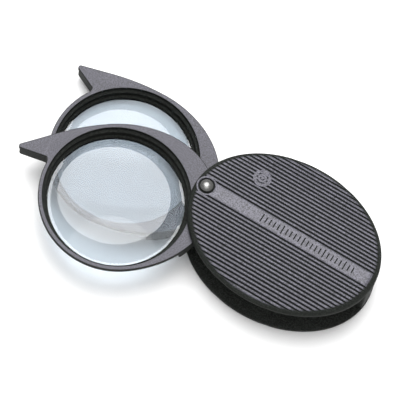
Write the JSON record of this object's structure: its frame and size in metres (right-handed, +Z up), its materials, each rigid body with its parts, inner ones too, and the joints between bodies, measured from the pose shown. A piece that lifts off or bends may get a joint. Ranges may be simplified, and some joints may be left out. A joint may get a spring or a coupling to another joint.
{
  "type": "hand lens",
  "caption": "Folding pocket magnifier: glass lenses in round frames with thumb hooks swing on a rivet out of an oval ribbed plastic case.",
  "frame": {"origin": "centre of the oval case's base, on the underside of the bottom cover", "axes": "+X along the case from the rivet end to the far end, +Z up from the base to the domed rivet head, +Y to the side that the end wall closes"},
  "size_m": [0.0994, 0.056, 0.0154],
  "materials": {
    "case": "satin, ribbed",
    "frame": "satin",
    "retainer": "matt",
    "lens": "polished",
    "rivet": "satin",
    "washer": "smooth"
  },
  "bodies": {
    "case": {"top_cover": "case", "bottom_cover": "case", "pivot_rivet": "rivet", "rivet_burr": "rivet", "top_washer": "washer", "middle_washer": "washer", "bottom_washer": "washer"},
    "upper_lens_arm": {"upper_frame": "frame", "upper_lens": "lens", "upper_retaining_ring": "retainer"},
    "lower_lens_arm": {"lower_frame": "frame", "lower_lens": "lens", "lower_retaining_ring": "retainer"}
  },
  "joints": [
    {"name": "upper_lens_swing", "type": "hinge", "parent": "case", "child": "upper_lens_arm", "pos_m": [-0.02395, 0, 0.00907], "axis": [0, 0, 1], "range_deg": [-156.8, 143.2]},
    {"name": "lower_lens_swing", "type": "hinge", "parent": "case", "child": "lower_lens_arm", "pos_m": [-0.02395, 0, 0.00411], "axis": [0, 0, 1], "range_deg": [-122.1, 177.9]}
  ]
}
